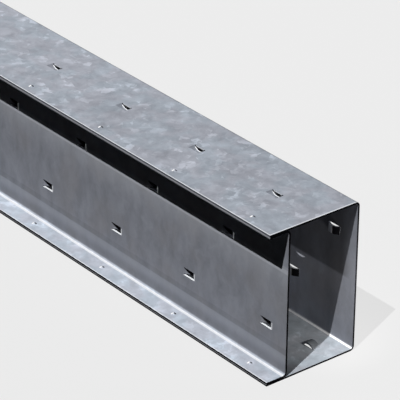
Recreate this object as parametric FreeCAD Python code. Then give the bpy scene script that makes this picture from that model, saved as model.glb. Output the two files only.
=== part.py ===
import FreeCAD, Part
import math
import os

# Lintel section, all sizes in millimetres
length = 1200.0
width = 96.7
height = 143.0
flange_reach = 20.3
sheet = 1.8
inner_bend = 2.5

# Joining buttons, raised along both front flanges
button_first = 33.0
button_count = 12
button_from_edge = 9.2
button_sides = 12
button_base_r = 2.3
button_top_r = 1.0
button_height = 0.9

# Lanced plaster keys, arched inwards and joined to the sheet at both ends
key_pitch = (length - 2 * button_first) / (button_count - 1)
key_length = 14.4
key_width = 7.6
key_depth = 3.6
key_side_gap = 0.15
cutter_overrun = 1.0

# Key rows, with offsets measured from the right end
web_near_offset = 26.6
back_near_offset = 28.0
bottom_near_offset = 25.6
middle_offset = 53.2
far_offset = 78.0
web_row_low = 42.3
web_row_high = 105.7
back_row_low = 43.7
back_row_high = 106.4
top_row_y = 1.0
bottom_row_spacing = 22.7

# Positions that follow from the sizes, in the part's own frame
right_end = length / 2
front = -width / 2
back = width / 2
web_front = front + flange_reach


def rounded_profile(points):
    """Closed wire through 3-D corners given as (point, corner radius)."""
    starts = []
    ends = []
    middles = []
    for i, (corner, radius) in enumerate(points):
        before = (points[i - 1][0] - corner).normalize()
        after = (points[(i + 1) % len(points)][0] - corner).normalize()
        if radius <= 0:
            starts.append(corner)
            ends.append(corner)
            middles.append(None)
            continue
        half = before.getAngle(after) / 2
        run = radius / math.tan(half)
        bisector = (before + after).normalize()
        centre = corner + bisector * (radius / math.sin(half))
        starts.append(corner + before * run)
        ends.append(corner + after * run)
        middles.append(centre - bisector * radius)
    edges = []
    for i in range(len(points)):
        if middles[i] is not None:
            edges.append(Part.Arc(starts[i], middles[i], ends[i]).toShape())
        nxt = (i + 1) % len(points)
        edges.append(Part.makeLine(ends[i], starts[nxt]))
    return Part.Wire(edges)


def channel(front_y, back_y, low_z, high_z):
    """Sheet folded into a channel that opens towards the front."""
    def at(y, z):
        return FreeCAD.Vector(-length / 2, y, z)
    outer_bend = inner_bend + sheet
    profile = rounded_profile([
        (at(front_y, low_z), 0),
        (at(back_y, low_z), outer_bend),
        (at(back_y, high_z), outer_bend),
        (at(front_y, high_z), 0),
        (at(front_y, high_z - sheet), 0),
        (at(back_y - sheet, high_z - sheet), inner_bend),
        (at(back_y - sheet, low_z + sheet), inner_bend),
        (at(front_y, low_z + sheet), 0),
    ])
    return Part.Face(profile).extrude(FreeCAD.Vector(length, 0, 0))


def row_positions(offset):
    """Centres of one row along X, counted from the right end and clear of the left end."""
    centres = [right_end - offset - i * key_pitch for i in range(button_count)]
    return [x for x in centres if x - key_length > -right_end]


def key_at(start, inward):
    """Slot and arched strap of one key, from the slot's left end on the sheet's outer face."""
    along = FreeCAD.Vector(1, 0, 0)
    across = along.cross(inward)

    def at(u, v, w):
        return start + along * u + inward * v + across * w
    half = key_width / 2
    side = key_side_gap - half
    middle = key_length / 2
    outer_arc = Part.Arc(at(0, 0, side), at(middle, key_depth, side), at(key_length, 0, side))
    inner_top = at(middle, key_depth + sheet, side)
    inner_arc = Part.Arc(at(key_length, sheet, side), inner_top, at(0, sheet, side))
    outline = Part.Wire([
        outer_arc.toShape(),
        Part.makeLine(at(key_length, 0, side), at(key_length, sheet, side)),
        inner_arc.toShape(),
        Part.makeLine(at(0, sheet, side), at(0, 0, side)),
    ])
    strap = Part.Face(outline).extrude(across * (key_width - 2 * key_side_gap))
    above = -cutter_overrun
    mouth = Part.makePolygon([
        at(0, above, -half),
        at(key_length, above, -half),
        at(key_length, above, half),
        at(0, above, half),
        at(0, above, -half),
    ])
    slot = Part.Face(mouth).extrude(inward * (sheet + 2 * cutter_overrun))
    return slot, strap


def key_row(offset, y, z, inward):
    """One row of keys along the lintel."""
    slots = []
    straps = []
    for x in row_positions(offset):
        start = FreeCAD.Vector(x - key_length / 2, y, z)
        slot, strap = key_at(start, inward)
        slots.append(slot)
        straps.append(strap)
    return slots, straps


def ring(x, z, radius):
    """Corners of a button's outline at one level."""
    corners = []
    for i in range(button_sides):
        turn = 2 * math.pi * i / button_sides
        y = front + button_from_edge + radius * math.sin(turn)
        corners.append(FreeCAD.Vector(x + radius * math.cos(turn), y, z))
    return corners


def button(x, z):
    """One round button on a face that looks up, rooted half way into the sheet."""
    root = sheet / 2
    spread = (button_base_r - button_top_r) / button_height * root
    low = ring(x, z - root, button_base_r + spread)
    high = ring(x, z + button_height, button_top_r)
    outlines = [low, high]
    for i in range(button_sides):
        nxt = (i + 1) % button_sides
        outlines.append([low[i], low[nxt], high[nxt], high[i]])
    faces = [Part.Face(Part.makePolygon(corners + corners[:1])) for corners in outlines]
    return Part.Solid(Part.Shell(faces))


def buttons(z):
    """Buttons along one front flange."""
    return [button(x, z) for x in row_positions(button_first)]


def finish(shape, slots, additions):
    """Cut the openings and join the straps and buttons to one solid."""
    cut = shape.cut(slots)
    joined = cut.fuse(additions)
    return joined.removeSplitter().Solids[0]


os.makedirs("parts", exist_ok=True)

into_back = FreeCAD.Vector(0, -1, 0)
into_web = FreeCAD.Vector(0, 1, 0)
into_top = FreeCAD.Vector(0, 0, -1)
into_bottom = FreeCAD.Vector(0, 0, 1)

outer_rows = [
    key_row(middle_offset, top_row_y, height, into_top),
    key_row(back_near_offset, back, back_row_high, into_back),
    key_row(far_offset, back, back_row_low, into_back),
    key_row(bottom_near_offset, -bottom_row_spacing, 0, into_bottom),
    key_row(far_offset, 0, 0, into_bottom),
    key_row(bottom_near_offset, bottom_row_spacing, 0, into_bottom),
]
inner_rows = [
    key_row(web_near_offset, web_front, web_row_low, into_web),
    key_row(far_offset, web_front, web_row_high, into_web),
]

# Outer channel: top plate, back wall and bottom plate
outer_slots = []
outer_additions = buttons(height)
for slots, straps in outer_rows:
    outer_slots += slots
    outer_additions += straps
outer = finish(channel(front, back, 0, height), outer_slots, outer_additions)
outer.exportStep("parts/outer_channel.step")

# Inner channel: web with a lip under the top plate and one on the bottom plate
inner_slots = []
inner_additions = buttons(2 * sheet)
for slots, straps in inner_rows:
    inner_slots += slots
    inner_additions += straps
inner_blank = channel(front, web_front + sheet, sheet, height - sheet)
inner = finish(inner_blank, inner_slots, inner_additions)
inner.exportStep("parts/inner_channel.step")
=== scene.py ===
import math

import bpy
from mathutils import Euler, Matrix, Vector


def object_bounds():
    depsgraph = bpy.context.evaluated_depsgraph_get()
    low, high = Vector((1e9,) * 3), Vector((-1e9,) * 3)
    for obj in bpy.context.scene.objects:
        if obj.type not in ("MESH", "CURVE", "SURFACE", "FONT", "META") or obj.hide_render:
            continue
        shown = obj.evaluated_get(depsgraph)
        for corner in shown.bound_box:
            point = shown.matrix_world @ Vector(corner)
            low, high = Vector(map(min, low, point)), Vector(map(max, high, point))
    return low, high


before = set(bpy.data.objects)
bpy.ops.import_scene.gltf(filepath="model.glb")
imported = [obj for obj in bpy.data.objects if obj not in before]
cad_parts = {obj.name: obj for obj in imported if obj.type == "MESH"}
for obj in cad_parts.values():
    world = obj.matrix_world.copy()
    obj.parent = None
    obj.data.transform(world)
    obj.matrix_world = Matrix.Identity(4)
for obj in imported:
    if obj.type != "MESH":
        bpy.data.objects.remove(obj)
cad_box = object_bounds()
scene = bpy.context.scene

# Camera at the photograph's angle
CAMERA_AT = (2.085013, -1.324135, 1.217829)
CAMERA_TURN_DEG = (61.94147851, -0.55075934, 51.28962058)
SENSOR_MM = 36.0
LENS_MM = 249.498
CLIP_END = 100.0

# Distant lamps: direction of travel, strength, width in degrees
KEY_LAMP = ((-0.180, 0.462, -0.868), 3.6, 0.3)
BACK_LAMP = ((0.30, -0.92, -0.25), 1.5, 40.0)

# Soft lamp beyond the right end, within the box's outline, so it lights little but the hollow
END_FILL_AT = (0.67, 0.041, 0.066)
END_FILL_TRAVEL = (-1.0, 0.0, 0.0)
END_FILL_SIZE = (0.02, 0.04)
END_FILL_SPREAD_DEG = 110.0
END_FILL_POWER = 0.072
END_FILL_COLOUR = (1.0, 0.965, 0.92)

# World and floor
SKY_FILL = 0.01
SKY_COLOUR = (1.0, 1.0, 1.0, 1.0)
BACKGROUND = (0.838, 0.838, 0.838, 1.0)
FLOOR_SIZE = 12.0
FLOOR_COLOUR = (0.76, 0.76, 0.76, 1.0)
FLOOR_BOUNCE = (0.015, 0.015, 0.015, 1.0)
FLOOR_SHADOW = 0.15

# Section of the lintel in metres
END = cad_box[1][0]
FRONT = cad_box[0][1]
BACK_Y = cad_box[1][1]
TOP = 0.143
SHEET = 0.0018
BEND = 0.0025
WEB_FRONT = FRONT + 0.0203
WEB_BACK = WEB_FRONT + SHEET
BACK_INNER = BACK_Y - SHEET

# Rows that repeat along the lintel, and the size of a key
BUTTON_INSET = 0.0330
BUTTON_STEPS = 11
PITCH = (2 * END - 2 * BUTTON_INSET) / BUTTON_STEPS
BUTTON_AT = (END - BUTTON_INSET, FRONT + 0.0092)
TOP_KEY_AT = (END - 0.0532, 0.0010)
WEB_LOW_KEY_AT = (END - 0.0266, 0.0423)
WEB_HIGH_KEY_AT = (END - 0.0780, 0.1057)
BACK_LOW_KEY_X = END - 0.0780
BACK_HIGH_KEY_X = END - 0.0280
KEY_HALF_LENGTH = 0.0072
KEY_HALF_WIDTH = 0.0038

# Heights at which the looks change from one half of the section to the other
LOW_HALF = (0.06, 0.04)
HIGH_HALF = (0.06, 0.08)
LOW_TO_HIGH_ROW = (0.070, 0.080)
BETWEEN_ROWS = 0.075
WALL = (0.030, 0.125)

# How far a normal points along an axis, from none to full
LEVEL_FACING = (0.25, 0.95)
UP_FACING = (0.1, 0.3)
FRONT_FACING = (-0.7, -0.9)
EDGE_FACING = (-0.80, -0.95)
SLOPE_FACING = (-0.2, -0.4)
END_FACING = (0.80, 0.95)

# Noise of the zinc: scale per metre, detail and, where it isn't 0.5, roughness
WARP_NOISE = (70.0, 3.0)
CLOUD_NOISE = (16.0, 2.0)
BLOTCH_NOISE = (75.0, 4.0, 0.6)
GREEN_NOISE = (45.0, 3.0)
BROWN_NOISE = (28.0, 3.0)
BUMP_NOISE = (220.0, 3.0)
WARP_REACH = (0.012, 0.012, 0.012)
CRYSTAL_SCALE = 130.0
GRAIN_SCALE = 300.0
STREAK_STRETCH = (1.0, 1.0, 0.5)
NOISE_MIDDLE = 0.5

# Which part of each noise counts, and how strongly
LIGHT_BLOTCHES = (0.50, 0.60)
LIGHT_CRYSTALS = (0.35, 0.75)
LIGHT_CLOUDS = (0.38, 0.62)
LIGHT_OUTSIDE_CLOUDS = 0.35
LIGHT_LOW = 0.6
LIGHT_GAIN = 0.42
FINE_GAIN = 0.14
CLOUD_GAIN = 0.20
STREAK_GAIN = 0.75
SPANGLE_WHEN_UPRIGHT = 0.15
GREEN_PATCHES = (0.42, 0.60)
BROWN_PATCHES = (0.45, 0.65)
BROWN_SHARE = 0.24
TOWARDS_MIDDLE = (0.50, 0.05)
MIDDLE_TONE = (0.94, 1.06)

# Gloss and relief
GLOSS_LEVEL = 0.10
GLOSS_BEND = 0.3
GLOSS_KEY_END = 0.2
ROUGHNESS = 0.34
ROUGHNESS_GRAIN = 0.12
BUMP_STRENGTH = 0.12
BUMP_DISTANCE = 0.0004

# Zinc on each kind of face, with the light and shade painted on it
TOP_PLATE = (0.335, 0.350, 0.395)
LOW_PLATE = (0.525, 0.555, 0.625)
INNER_PLATE_SHADED = (0.40, 0.425, 0.47)
UPRIGHT_SHADED = (0.262, 0.275, 0.314)
GREEN_FACTOR = (0.957, 1.005, 1.010)
BROWN = (0.270, 0.256, 0.256)
INNER_SHADE = (0.02, 0.02, 0.02)
INNER_REFLECTION_FACTOR = (1.62, 1.62, 1.62)
WEB_REFLECTION = (0.355, 0.375, 0.425)
FOOT_SHADE = (0.05, 0.05, 0.05)
HALO = (0.55, 0.57, 0.62)
PAINTED_HIGHLIGHT = (0.93, 0.95, 0.98)
BACK_EDGE_SHADE = (0.10, 0.10, 0.10)

# Cut faces
LOW_EDGE = (0.006, 0.006, 0.007)
SEAM = (0.30, 0.31, 0.34)
LIP_EDGE = (0.40, 0.41, 0.44)
PLATE_EDGE = (0.12, 0.127, 0.15)
# Painted highlight on the straps' bare cut edges
STRAP_EDGE_HIGHLIGHT = (0.90, 0.93, 0.96)
# Painted shade on the cut faces at the ends
CUT_END_SHADE = (0.008, 0.008, 0.010)

# Painted light and shade on keys and buttons
KEY_SHADOW = (0.010, 0.010, 0.012)
KEY_HIGHLIGHT = (0.95, 0.97, 1.0)
CROWN_PAINTED_LIGHT = (0.50, 0.51, 0.53)
CROWN_PAINTED_SHADE = (0.004, 0.004, 0.005)
DIP_SHADE = (0.10, 0.10, 0.12)
SLOT_SHADOW = (0.008, 0.008, 0.008)
SLOT_LIT = (0.62, 0.64, 0.68)
BUTTON_HIGHLIGHT = (1.0, 1.0, 1.0)
BUTTON_SHADE = (0.05, 0.05, 0.055)

# Marks. Each pair is a soft edge from none to full, or a span, in metres.
# A share is how strongly a mark covers what is under it.
WEB_FACE = (WEB_FRONT - 0.0001, WEB_FRONT + 0.0001)

# Inner face of the back wall
INNER_FACE = (BACK_INNER - 0.0003, BACK_INNER + 0.0003)
INNER_PAST_END = (END - 0.004, END - 0.020)
INNER_UPPER = (0.065, 0.068)
INNER_LOWER = (0.068, 0.065)
INNER_UPPER_SHARE = 0.46
INNER_ALL_FADE = (END - 0.030, END - 0.045)
INNER_ALL_SHARES = (0.16, 0.03)
INNER_DEEP = (END - 0.030, END - 0.085)

# Web
STRIP_TOP = (0.0225, 0.0212)
STRIP_RISE = (0.0060, 0.0200)
STRIP_AT_FOOT = 0.25
STRIP_SHARE = 0.53
FOOT = (0.0190, 0.0090)
FOOT_SHARE = 0.32
ABOVE_STRIP = (0.0226, 0.0270)
ABOVE_STRIP_SOFT = 0.0010
ABOVE_STRIP_SHARE = 0.12
HALO_RISE = (0.0720, 0.1040)
HALO_TOP = (0.1065, 0.1045)
HALO_SHARE = 0.27
HALO_LINE = (0.0990, 0.1025)
HALO_LINE_SOFT = 0.0006
HALO_LINE_SHARE = 0.35

# Bends and rims
FRONT_BEND_START = (WEB_FRONT - BEND - 0.0020, WEB_FRONT - BEND - 0.0008)
FRONT_BEND_STOP = (WEB_FRONT - 0.0009, WEB_FRONT - 0.0016)
FRONT_BEND_TOP = (0.0045, 0.0037)
BACK_BEND = (BACK_INNER - 0.0016, BACK_INNER - 0.0001)
BACK_BEND_TOP = (0.0034, 0.0027)
TOP_FACE = (TOP - 0.0004, TOP - 0.0001)
FRONT_RIM = (FRONT + 0.0011, FRONT + 0.0003)
FRONT_RIM_SHARE = 0.8
END_RIM = (END - 0.0016, END - 0.0006)
END_RIM_SHARE = 0.6
LOW_RIM = (FRONT + 0.0012, FRONT + 0.0006)
LOW_RIM_FACE = (2 * SHEET - 0.0001, 2 * SHEET - 0.00002)
LOW_RIM_SHARE = 0.6
BACK_EDGE = (BACK_Y - 0.0042, BACK_Y - 0.0030)
BACK_EDGE_TOP = (TOP - 0.0030, TOP - 0.0015)
BACK_EDGE_SHARE = 0.45

# Cut edges
FLANGE_EDGE = (FRONT + 0.0004, FRONT + 0.0001)
SEAM_FROM = (SHEET - 0.0007, SHEET - 0.0004)
SEAM_TO = (SHEET + 0.0003, SHEET - 0.0001)
ABOVE_LIP = (TOP - SHEET - 0.0001, TOP - SHEET + 0.0001)
UNDER_LIP = (TOP - 2 * SHEET + 0.0007, TOP - 2 * SHEET + 0.0004)
WEB_STRAPS = (WEB_FRONT, WEB_BACK + 0.0040)
BACK_STRAPS = (BACK_INNER - 0.0045, BACK_Y)
END_FACE = (END - 0.0004, END - 0.0001)

# Keys of the web, by height over the row and depth behind the web's face
WEB_ROW_REACH = (0.0070, 0.0060)
CLEAR_OF_MIDDLE = (0.010, 0.012)
WEB_HOLLOW = (0.0003, 0.0040)
UNDER_RIM = (0.0030, 0.0042)
UNDER_RIM_SLOPE = 1.9
UNDER_RIM_STOP = (0.0030, 0.0020)
SLOT_LINE = (-0.0028, -0.0033)
KEY_END = (KEY_HALF_LENGTH, KEY_HALF_LENGTH + 0.0011)
KEY_END_RISE = (-0.0036, 0.0028)
KEY_END_SHARE = 0.7

# Crowns of the keys inside the box
BACK_CROWN = (BACK_INNER - 0.0045, BACK_INNER - 0.0002)
CROWN_LEFT = (0.0018, 0.0006)
CROWN_RIGHT = (0.0002, 0.0014)
BOTTOM_CROWN = (SHEET + 0.0004, SHEET + 0.0042)
BETWEEN_WALLS = (WEB_BACK + 0.0003, BACK_INNER - BEND - 0.0006)
BOTTOM_CROWN_SHARE = 0.6

# Keys of the top plate, by distance across the row and along it
DIP = (TOP - 0.0060, TOP - 0.0002)
DIP_SHARE = 0.30
FAR_EDGE = (KEY_HALF_WIDTH - 0.0011, KEY_HALF_WIDTH)
FAR_EDGE_SPAN = (-0.0055, 0.0030)
FAR_EDGE_SOFT = 0.0008
SLOT_WALL = (KEY_HALF_WIDTH - 0.0001, KEY_HALF_WIDTH + 0.0003)
SLOT_DEPTH = (TOP - SHEET - 0.0003, TOP - SHEET)
SLOT_LIT_TOP = (TOP - 0.0012, TOP - 0.0008)
SLOT_LIT_SPAN = (-0.0050, 0.0048)
SLOT_LIT_SOFT = 0.0010

# Buttons: heights of their flanks, and centre and radius of each spot
LOW_BUTTON = (0.0034, 0.0050)
HIGH_BUTTON = (TOP - 0.0002, TOP + 0.0012)
HIGHLIGHT_SPOT = ((-0.0008, -0.0009), 0.0012)
SHADE_SPOT = ((0.0009, 0.0009), 0.0011)
SPOT_FADE = (1.2, 0.7)


class Graph:
    """Short hand for building one material's nodes."""

    def __init__(self, name):
        self.mat = bpy.data.materials.new(name)
        self.mat.use_nodes = True
        self.tree = self.mat.node_tree
        self.surface = self.tree.nodes["Principled BSDF"]

    def put(self, socket, value):
        """Link a socket or set a constant. A colour is given without its alpha."""
        if isinstance(value, bpy.types.NodeSocket):
            self.tree.links.new(value, socket)
        elif socket.type == "RGBA":
            socket.default_value = (*value, 1.0)
        else:
            socket.default_value = value

    def math(self, operation, *values):
        made = self.tree.nodes.new("ShaderNodeMath")
        made.operation = operation
        for socket, value in zip(made.inputs, values):
            self.put(socket, value)
        return made.outputs[0]

    def add(self, first, second):
        return self.math("ADD", first, second)

    def mul(self, first, *others):
        """Product of two or more."""
        for other in others:
            first = self.math("MULTIPLY", first, other)
        return first

    def larger(self, first, second):
        return self.math("MAXIMUM", first, second)

    def absolute(self, value):
        return self.math("ABSOLUTE", value)

    def ramp(self, value, low, high, to_low=0.0, to_high=1.0):
        """Smooth step of value from low to high."""
        made = self.tree.nodes.new("ShaderNodeMapRange")
        made.interpolation_type = "SMOOTHSTEP"
        for socket, setting in zip(made.inputs, (value, low, high, to_low, to_high)):
            self.put(socket, setting)
        return made.outputs[0]

    def band(self, value, low, high, soft=0.0002):
        """1 between low and high, with soft sides."""
        return self.mul(self.ramp(value, low - soft, low), self.ramp(value, high + soft, high))

    def mix(self, share, first, second):
        """Blend of two colours."""
        made = self.tree.nodes.new("ShaderNodeMix")
        made.data_type = "RGBA"
        for socket, value in ((0, share), (6, first), (7, second)):
            self.put(made.inputs[socket], value)
        return made.outputs[2]

    def blend(self, share, first, second):
        """Blend of two numbers."""
        made = self.tree.nodes.new("ShaderNodeMix")
        for socket, value in ((0, share), (2, first), (3, second)):
            self.put(made.inputs[socket], value)
        return made.outputs[0]

    def noise(self, place, scale, detail, roughness=0.5, output="Fac"):
        made = self.tree.nodes.new("ShaderNodeTexNoise")
        self.put(made.inputs["Vector"], place)
        made.inputs["Scale"].default_value = scale
        made.inputs["Detail"].default_value = detail
        made.inputs["Roughness"].default_value = roughness
        return made.outputs[output]

    def cells(self, place, scale):
        """One random number for each spangle crystal."""
        made = self.tree.nodes.new("ShaderNodeTexVoronoi")
        self.put(made.inputs["Vector"], place)
        made.inputs["Scale"].default_value = scale
        split = self.tree.nodes.new("ShaderNodeSeparateColor")
        self.tree.links.new(made.outputs["Color"], split.inputs[0])
        return split.outputs[0]

    def spot(self, u, v, centre, radius):
        """Soft round patch."""
        along = self.math("POWER", self.add(u, -centre[0]), 2.0)
        across = self.math("POWER", self.add(v, -centre[1]), 2.0)
        away = self.math("SQRT", self.add(along, across))
        return self.ramp(away, *(radius * fade for fade in SPOT_FADE))

    def split(self, vector):
        made = self.tree.nodes.new("ShaderNodeSeparateXYZ")
        self.tree.links.new(vector, made.inputs[0])
        return made.outputs

    def vector(self, operation, first, second):
        made = self.tree.nodes.new("ShaderNodeVectorMath")
        made.operation = operation
        self.put(made.inputs[0], first)
        self.put(made.inputs[1], second)
        return made.outputs[0]

    def scaled(self, colour, factor):
        """Colour times a number."""
        made = self.tree.nodes.new("ShaderNodeVectorMath")
        made.operation = "SCALE"
        self.put(made.inputs[0], colour)
        self.put(made.inputs["Scale"], factor)
        return made.outputs[0]


class Zinc(Graph):
    """Hot-dip zinc with a soft spangle, marked where the lintel is bent, cut and pressed.

    Each step paints over the ones before it, in the lintel's own coordinates in metres.
    Many of the tones are the photograph's light and shade laid on as colour, so they stay
    where they are under any other light.
    """

    def __init__(self, name):
        super().__init__(name)
        self.place = self.tree.nodes.new("ShaderNodeTexCoord").outputs["Object"]
        self.x, self.y, self.z = self.split(self.place)
        normal = self.tree.nodes.new("ShaderNodeNewGeometry").outputs["Normal"]
        self.nx, self.ny, self.nz = self.split(normal)
        self.from_middle = self.absolute(self.x)
        self.level = self.ramp(self.absolute(self.nz), *LEVEL_FACING)
        self.upright = self.blend(self.level, 1.0, 0.0)
        self.up = self.ramp(self.nz, *UP_FACING)
        self.low = self.ramp(self.z, *LOW_HALF)
        self.on_web = self.band(self.y, *WEB_FACE)
        self.wall = self.band(self.z, *WALL)

        self.lay_zinc(self.spangle_tone())
        self.shade_inner_wall()
        self.tone_web()
        front_bend = self.brighten_bends_and_rims()
        self.mark_cut_edges()
        key_end = self.mark_web_keys()
        self.mark_crowns()
        self.mark_top_keys()
        self.mark_buttons()
        self.darken_ends()
        self.set_surface(front_bend, key_end)

    def paint(self, share, colour):
        """Lay a colour over what is there."""
        self.colour = self.mix(share, self.colour, colour)

    def along_row(self, centre):
        """Distance along the lintel from the nearest of a row's centres."""
        return self.math("WRAP", self.add(self.x, -centre), PITCH / 2, -PITCH / 2)

    def by_row(self, in_low_row, in_high_row):
        """A number that differs between the two rows of keys in a wall."""
        return self.blend(self.ramp(self.z, *LOW_TO_HIGH_ROW), in_low_row, in_high_row)

    def spangle_tone(self):
        """Crystals of a few millimetres, lit unevenly in cloudy groups, with faint streaks."""
        warp = self.noise(self.place, *WARP_NOISE, output="Color")
        warp = self.vector("SUBTRACT", warp, (NOISE_MIDDLE, NOISE_MIDDLE, NOISE_MIDDLE))
        warp = self.vector("MULTIPLY", warp, WARP_REACH)
        warped = self.vector("ADD", self.place, warp)
        crystals = self.cells(warped, CRYSTAL_SCALE)
        grains = self.cells(warped, GRAIN_SCALE)
        clouds = self.noise(self.place, *CLOUD_NOISE)
        blotches = self.noise(warped, *BLOTCH_NOISE)
        self.fine = self.add(self.mul(grains, 0.5), self.mul(crystals, 0.5))

        light = self.mul(
            self.ramp(blotches, *LIGHT_BLOTCHES),
            self.ramp(crystals, *LIGHT_CRYSTALS),
            self.ramp(clouds, *LIGHT_CLOUDS, LIGHT_OUTSIDE_CLOUDS, 1.0),
            self.ramp(self.z, *LOW_HALF, 1.0, LIGHT_LOW),
        )
        fine = self.mul(self.add(self.fine, -NOISE_MIDDLE), FINE_GAIN)
        tone = self.add(self.mul(light, LIGHT_GAIN), fine)
        tone = self.add(tone, self.mul(self.add(clouds, -NOISE_MIDDLE), CLOUD_GAIN))
        tone = self.mul(tone, self.blend(self.level, SPANGLE_WHEN_UPRIGHT, 1.0))
        stretched = self.vector("MULTIPLY", warped, STREAK_STRETCH)
        streaks = self.noise(stretched, *BLOTCH_NOISE)
        tone = self.add(tone, self.mul(self.add(streaks, -NOISE_MIDDLE), STREAK_GAIN))
        middle = self.ramp(self.from_middle, *TOWARDS_MIDDLE, *MIDDLE_TONE)
        return self.add(tone, self.blend(self.level, 1.0, middle))

    def lay_zinc(self, tone):
        """Level faces paler than upright ones, as the light in the photograph shows them."""
        plate = self.mix(self.low, TOP_PLATE, LOW_PLATE)
        # Painted shade: the bottom plate inside the box is darker than the front flange
        inside = self.mul(self.low, self.ramp(self.y, WEB_FRONT, WEB_BACK))
        plate = self.mix(inside, plate, INNER_PLATE_SHADED)
        self.colour = self.scaled(self.mix(self.level, UPRIGHT_SHADED, plate), tone)

        # Faint green cast in patches on the level faces, brown on the upright ones
        green = self.ramp(self.noise(self.place, *GREEN_NOISE), *GREEN_PATCHES)
        green_zinc = self.vector("MULTIPLY", self.colour, GREEN_FACTOR)
        self.paint(self.mul(green, self.level), green_zinc)
        brown = self.ramp(self.noise(self.place, *BROWN_NOISE), *BROWN_PATCHES)
        self.paint(self.mul(brown, self.upright, BROWN_SHARE), BROWN)

    def shade_inner_wall(self):
        """Painted shade on the back wall's inner face, darkest in its upper half."""
        facing = self.ramp(self.ny, *FRONT_FACING)
        inner_wall = self.mul(self.band(self.y, *INNER_FACE), facing)
        past_end = self.ramp(self.from_middle, *INNER_PAST_END)
        upper = self.mul(past_end, self.ramp(self.z, *INNER_UPPER), INNER_UPPER_SHARE)
        all_over = self.ramp(self.from_middle, *INNER_ALL_FADE, *INNER_ALL_SHARES)
        self.paint(self.mul(inner_wall, self.add(upper, all_over)), INNER_SHADE)

        # Painted reflection: paler again deep in the lower half
        deep = self.ramp(self.from_middle, *INNER_DEEP)
        pale = self.mul(deep, self.ramp(self.z, *INNER_LOWER))
        painted_reflection = self.vector("MULTIPLY", self.colour, INNER_REFLECTION_FACTOR)
        self.paint(self.mul(inner_wall, pale), painted_reflection)

    def tone_web(self):
        """Web: painted reflection in a lighter strip low down, and painted light near the top."""
        strip = self.mul(self.on_web, self.ramp(self.z, *STRIP_TOP))
        strip = self.mul(strip, self.ramp(self.z, *STRIP_RISE, STRIP_AT_FOOT, 1.0))
        self.paint(self.mul(strip, STRIP_SHARE), WEB_REFLECTION)

        # Painted shade at the foot and just above the strip
        foot = self.mul(self.ramp(self.z, *FOOT), FOOT_SHARE)
        above = self.mul(self.band(self.z, *ABOVE_STRIP, ABOVE_STRIP_SOFT), ABOVE_STRIP_SHARE)
        self.paint(self.mul(self.on_web, self.larger(foot, above)), FOOT_SHADE)

        # Painted light that rises towards the edge of the top plate's shadow
        halo = self.mul(self.ramp(self.z, *HALO_RISE), self.ramp(self.z, *HALO_TOP), HALO_SHARE)
        line = self.mul(self.band(self.z, *HALO_LINE, HALO_LINE_SOFT), HALO_LINE_SHARE)
        halo = self.add(halo, line)
        self.paint(self.mul(self.on_web, halo), HALO)

    def brighten_bends_and_rims(self):
        """Painted highlights on the bends' hollow side and along the rims of the plates."""
        front_bend = self.mul(
            self.ramp(self.y, *FRONT_BEND_START),
            self.ramp(self.z, *FRONT_BEND_TOP),
            self.ramp(self.y, *FRONT_BEND_STOP),
        )
        back_bend = self.mul(self.band(self.y, *BACK_BEND), self.ramp(self.z, *BACK_BEND_TOP))

        front_rim = self.mul(self.ramp(self.y, *FRONT_RIM), FRONT_RIM_SHARE)
        end_rim = self.mul(self.ramp(self.from_middle, *END_RIM), END_RIM_SHARE)
        rim = self.mul(self.larger(front_rim, end_rim), self.ramp(self.z, *TOP_FACE))
        low_rim = self.mul(
            self.ramp(self.y, *LOW_RIM),
            self.ramp(self.z, *LOW_RIM_FACE),
            self.low,
            LOW_RIM_SHARE,
        )
        bright = self.larger(self.larger(front_bend, back_bend), self.larger(rim, low_rim))
        self.paint(bright, PAINTED_HIGHLIGHT)

        # Painted shade on the top bend where it rolls over to the back
        back_edge = self.mul(self.ramp(self.y, *BACK_EDGE), self.ramp(self.z, *BACK_EDGE_TOP))
        self.paint(self.mul(back_edge, BACK_EDGE_SHARE), BACK_EDGE_SHADE)
        return front_bend

    def mark_cut_edges(self):
        """Dark flange edges with the seam between two sheets, and painted highlights on straps.
        """
        facing = self.ramp(self.ny, *EDGE_FACING)
        flange_edge = self.mul(self.ramp(self.y, *FLANGE_EDGE), facing)
        seam = self.mul(self.ramp(self.z, *SEAM_FROM), self.ramp(self.z, *SEAM_TO))
        low_edge = self.mix(seam, LOW_EDGE, SEAM)
        off_lip = self.larger(self.ramp(self.z, *ABOVE_LIP), self.ramp(self.z, *UNDER_LIP))
        high_edge = self.mix(off_lip, LIP_EDGE, PLATE_EDGE)
        high = self.ramp(self.z, *HIGH_HALF)
        self.paint(flange_edge, self.mix(high, low_edge, high_edge))

        # Painted highlight on the straps' bare cut edges
        straps = self.larger(self.band(self.y, *WEB_STRAPS), self.band(self.y, *BACK_STRAPS))
        self.paint(self.mul(straps, self.level, self.wall), STRAP_EDGE_HIGHLIGHT)

    def mark_web_keys(self):
        """Web keys: painted shadow under the rim and in the slot, highlight at the right end."""
        rise = self.mul(self.by_row(WEB_LOW_KEY_AT[1], WEB_HIGH_KEY_AT[1]), -1.0)
        rise = self.add(self.z, rise)
        low_u = self.along_row(WEB_LOW_KEY_AT[0])
        u = self.by_row(low_u, self.along_row(WEB_HIGH_KEY_AT[0]))
        depth = self.add(self.y, -WEB_FRONT)
        from_middle_height = self.absolute(self.add(self.z, -BETWEEN_ROWS))
        in_row = self.ramp(self.absolute(rise), *WEB_ROW_REACH)
        in_row = self.mul(in_row, self.ramp(from_middle_height, *CLEAR_OF_MIDDLE))

        facing = self.ramp(self.ny, *SLOPE_FACING)
        hollow = self.mul(self.band(depth, *WEB_HOLLOW), in_row, facing)
        sloped = self.add(rise, self.mul(depth, UNDER_RIM_SLOPE))
        under_rim = self.mul(self.ramp(sloped, *UNDER_RIM), self.ramp(u, *UNDER_RIM_STOP))
        slot_line = self.ramp(rise, *SLOT_LINE)
        self.paint(self.mul(hollow, self.larger(under_rim, slot_line)), KEY_SHADOW)

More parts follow.
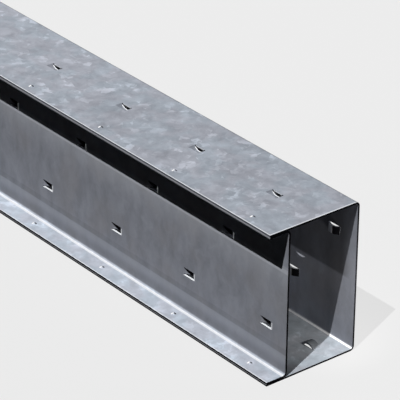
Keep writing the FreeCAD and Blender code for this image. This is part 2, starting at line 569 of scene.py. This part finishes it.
        key_end = self.mul(self.band(u, *KEY_END), self.band(rise, *KEY_END_RISE))
        key_end = self.mul(key_end, self.on_web, in_row)
        self.paint(self.mul(key_end, KEY_END_SHARE), KEY_HIGHLIGHT)
        return key_end

    def mark_crowns(self):
        """Crowns in the box: painted light on the left half, painted shade on the right."""
        back_crown = self.mul(self.band(self.y, *BACK_CROWN), self.wall, self.upright)
        low_u = self.along_row(BACK_LOW_KEY_X)
        u = self.by_row(low_u, self.along_row(BACK_HIGH_KEY_X))
        self.paint(self.mul(back_crown, self.ramp(u, *CROWN_LEFT)), CROWN_PAINTED_LIGHT)
        back_crown = self.mul(back_crown, self.ramp(u, *CROWN_RIGHT))
        bottom_crown = self.mul(
            self.band(self.z, *BOTTOM_CROWN),
            self.band(self.y, *BETWEEN_WALLS),
            self.level,
            BOTTOM_CROWN_SHARE,
        )
        self.paint(self.larger(back_crown, bottom_crown), CROWN_PAINTED_SHADE)

    def mark_top_keys(self):
        """Top keys: painted shade in dip and low slot; painted light on far edge and slot top."""
        u = self.along_row(TOP_KEY_AT[0])
        v = self.add(self.y, -TOP_KEY_AT[1])
        key_span = self.band(u, -KEY_HALF_LENGTH, KEY_HALF_LENGTH)
        dip = self.mul(
            key_span,
            self.band(v, -KEY_HALF_WIDTH, KEY_HALF_WIDTH),
            self.up,
            self.band(self.z, *DIP),
        )
        self.paint(self.mul(dip, DIP_SHARE), DIP_SHADE)
        far_edge = self.band(u, *FAR_EDGE_SPAN, FAR_EDGE_SOFT)
        self.paint(self.mul(dip, self.band(v, *FAR_EDGE), far_edge), KEY_HIGHLIGHT)

        slot_wall = self.mul(
            self.band(v, *SLOT_WALL),
            key_span,
            self.ramp(self.z, *SLOT_DEPTH),
            self.ramp(self.ny, *FRONT_FACING),
        )
        lit = self.band(u, *SLOT_LIT_SPAN, SLOT_LIT_SOFT)
        lit = self.mul(lit, self.ramp(self.z, *SLOT_LIT_TOP))
        self.paint(slot_wall, self.mix(lit, SLOT_SHADOW, SLOT_LIT))

    def mark_buttons(self):
        """Buttons: a painted highlight at the front left and painted shade at the back right."""
        u = self.along_row(BUTTON_AT[0])
        v = self.add(self.y, -BUTTON_AT[1])
        flanks = self.larger(self.band(self.z, *LOW_BUTTON), self.band(self.z, *HIGH_BUTTON))
        on_button = self.mul(self.up, flanks)
        self.paint(self.mul(on_button, self.spot(u, v, *HIGHLIGHT_SPOT)), BUTTON_HIGHLIGHT)
        self.paint(self.mul(on_button, self.spot(u, v, *SHADE_SPOT)), BUTTON_SHADE)

    def darken_ends(self):
        """Painted shade on the cut faces at both ends."""
        facing = self.ramp(self.absolute(self.nx), *END_FACING)
        self.paint(self.mul(facing, self.ramp(self.from_middle, *END_FACE)), CUT_END_SHADE)

    def set_surface(self, front_bend, key_end):
        """Colour, gloss and relief of the shader."""
        self.put(self.surface.inputs["Base Color"], self.colour)
        shine = self.larger(self.mul(self.level, GLOSS_LEVEL), self.mul(front_bend, GLOSS_BEND))
        shine = self.larger(shine, self.mul(key_end, GLOSS_KEY_END))
        self.put(self.surface.inputs["Metallic"], shine)
        roughness = self.add(self.mul(self.fine, ROUGHNESS_GRAIN), ROUGHNESS)
        self.put(self.surface.inputs["Roughness"], roughness)
        self.surface.inputs["Specular IOR Level"].default_value = 0.0
        bump = self.tree.nodes.new("ShaderNodeBump")
        bump.inputs["Strength"].default_value = BUMP_STRENGTH
        bump.inputs["Distance"].default_value = BUMP_DISTANCE
        self.put(bump.inputs["Height"], self.noise(self.place, *BUMP_NOISE))
        self.put(self.surface.inputs["Normal"], bump.outputs[0])


zinc_sheet = Zinc("zinc_sheet").mat
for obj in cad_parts.values():
    obj.data.materials.clear()
    obj.data.materials.append(zinc_sheet)


def shader_node(tree, kind, **settings):
    """New node with its sockets set."""
    made = tree.nodes.new(kind)
    for key, value in settings.items():
        made.inputs[key].default_value = value
    return made


def light_path_pick(tree):
    """1 for camera, glossy and transmission rays, 0 for the rest."""
    path = tree.nodes.new("ShaderNodeLightPath")
    share = path.outputs["Is Camera Ray"]
    for other in ("Is Glossy Ray", "Is Transmission Ray"):
        larger = tree.nodes.new("ShaderNodeMath")
        larger.operation = "MAXIMUM"
        tree.links.new(share, larger.inputs[0])
        tree.links.new(path.outputs[other], larger.inputs[1])
        share = larger.outputs[0]
    return share


def make_world():
    """Pale background for the eye, and next to no fill for the object."""
    world = bpy.data.worlds.new("studio")
    scene.world = world
    world.use_nodes = True
    tree = world.node_tree
    tree.nodes.clear()
    out = tree.nodes.new("ShaderNodeOutputWorld")
    mix = tree.nodes.new("ShaderNodeMixShader")
    fill = shader_node(tree, "ShaderNodeBackground", Color=SKY_COLOUR, Strength=SKY_FILL)
    seen = shader_node(tree, "ShaderNodeBackground", Color=BACKGROUND, Strength=1.0)
    tree.links.new(light_path_pick(tree), mix.inputs[0])
    tree.links.new(fill.outputs[0], mix.inputs[1])
    tree.links.new(seen.outputs[0], mix.inputs[2])
    tree.links.new(mix.outputs[0], out.inputs["Surface"])


def make_floor():
    """Plain pale floor that keeps the object's shadow."""
    bpy.ops.mesh.primitive_plane_add(size=FLOOR_SIZE, location=(0.0, 0.0, 0.0))
    floor = bpy.context.active_object
    floor.name = "floor"
    mat = bpy.data.materials.new("floor")
    mat.use_nodes = True
    tree = mat.node_tree
    tree.nodes.clear()
    out = tree.nodes.new("ShaderNodeOutputMaterial")
    seen = shader_node(tree, "ShaderNodeEmission", Color=BACKGROUND, Strength=1.0)
    shaded = shader_node(tree, "ShaderNodeBsdfDiffuse", Color=FLOOR_COLOUR)
    blend = shader_node(tree, "ShaderNodeMixShader", Fac=FLOOR_SHADOW)
    tree.links.new(seen.outputs[0], blend.inputs[1])
    tree.links.new(shaded.outputs[0], blend.inputs[2])
    quiet = shader_node(tree, "ShaderNodeBsdfDiffuse", Color=FLOOR_BOUNCE)
    pick = tree.nodes.new("ShaderNodeMixShader")
    tree.links.new(light_path_pick(tree), pick.inputs[0])
    tree.links.new(quiet.outputs[0], pick.inputs[1])
    tree.links.new(blend.outputs[0], pick.inputs[2])
    tree.links.new(pick.outputs[0], out.inputs["Surface"])
    floor.data.materials.append(mat)


def place_lamp(lamp, travel):
    """Object for a lamp that shines along travel."""
    obj = bpy.data.objects.new(lamp.name, lamp)
    obj.rotation_euler = Vector(travel).to_track_quat("-Z", "Y").to_euler()
    scene.collection.objects.link(obj)
    return obj


def make_lamp(name, travel, strength, width_deg):
    """Distant lamp."""
    lamp = bpy.data.lights.new(name, "SUN")
    lamp.energy = strength
    lamp.angle = math.radians(width_deg)
    place_lamp(lamp, travel)


def make_end_fill():
    """Small area lamp that looks into the open end."""
    lamp = bpy.data.lights.new("end_fill", "AREA")
    lamp.shape = "RECTANGLE"
    lamp.size, lamp.size_y = END_FILL_SIZE
    lamp.energy = END_FILL_POWER
    lamp.color = END_FILL_COLOUR
    lamp.spread = math.radians(END_FILL_SPREAD_DEG)
    place_lamp(lamp, END_FILL_TRAVEL).location = END_FILL_AT


def make_camera():
    """Camera of the photograph."""
    cam = bpy.data.cameras.new("camera")
    cam.sensor_width = SENSOR_MM
    cam.lens = LENS_MM
    cam.clip_end = CLIP_END
    obj = bpy.data.objects.new("camera", cam)
    obj.location = CAMERA_AT
    obj.rotation_euler = Euler([math.radians(v) for v in CAMERA_TURN_DEG], "XYZ")
    scene.collection.objects.link(obj)
    scene.camera = obj


make_world()
make_floor()
make_lamp("key", *KEY_LAMP)
make_lamp("back", *BACK_LAMP)
make_end_fill()
make_camera()
scene.view_settings.view_transform = "Standard"
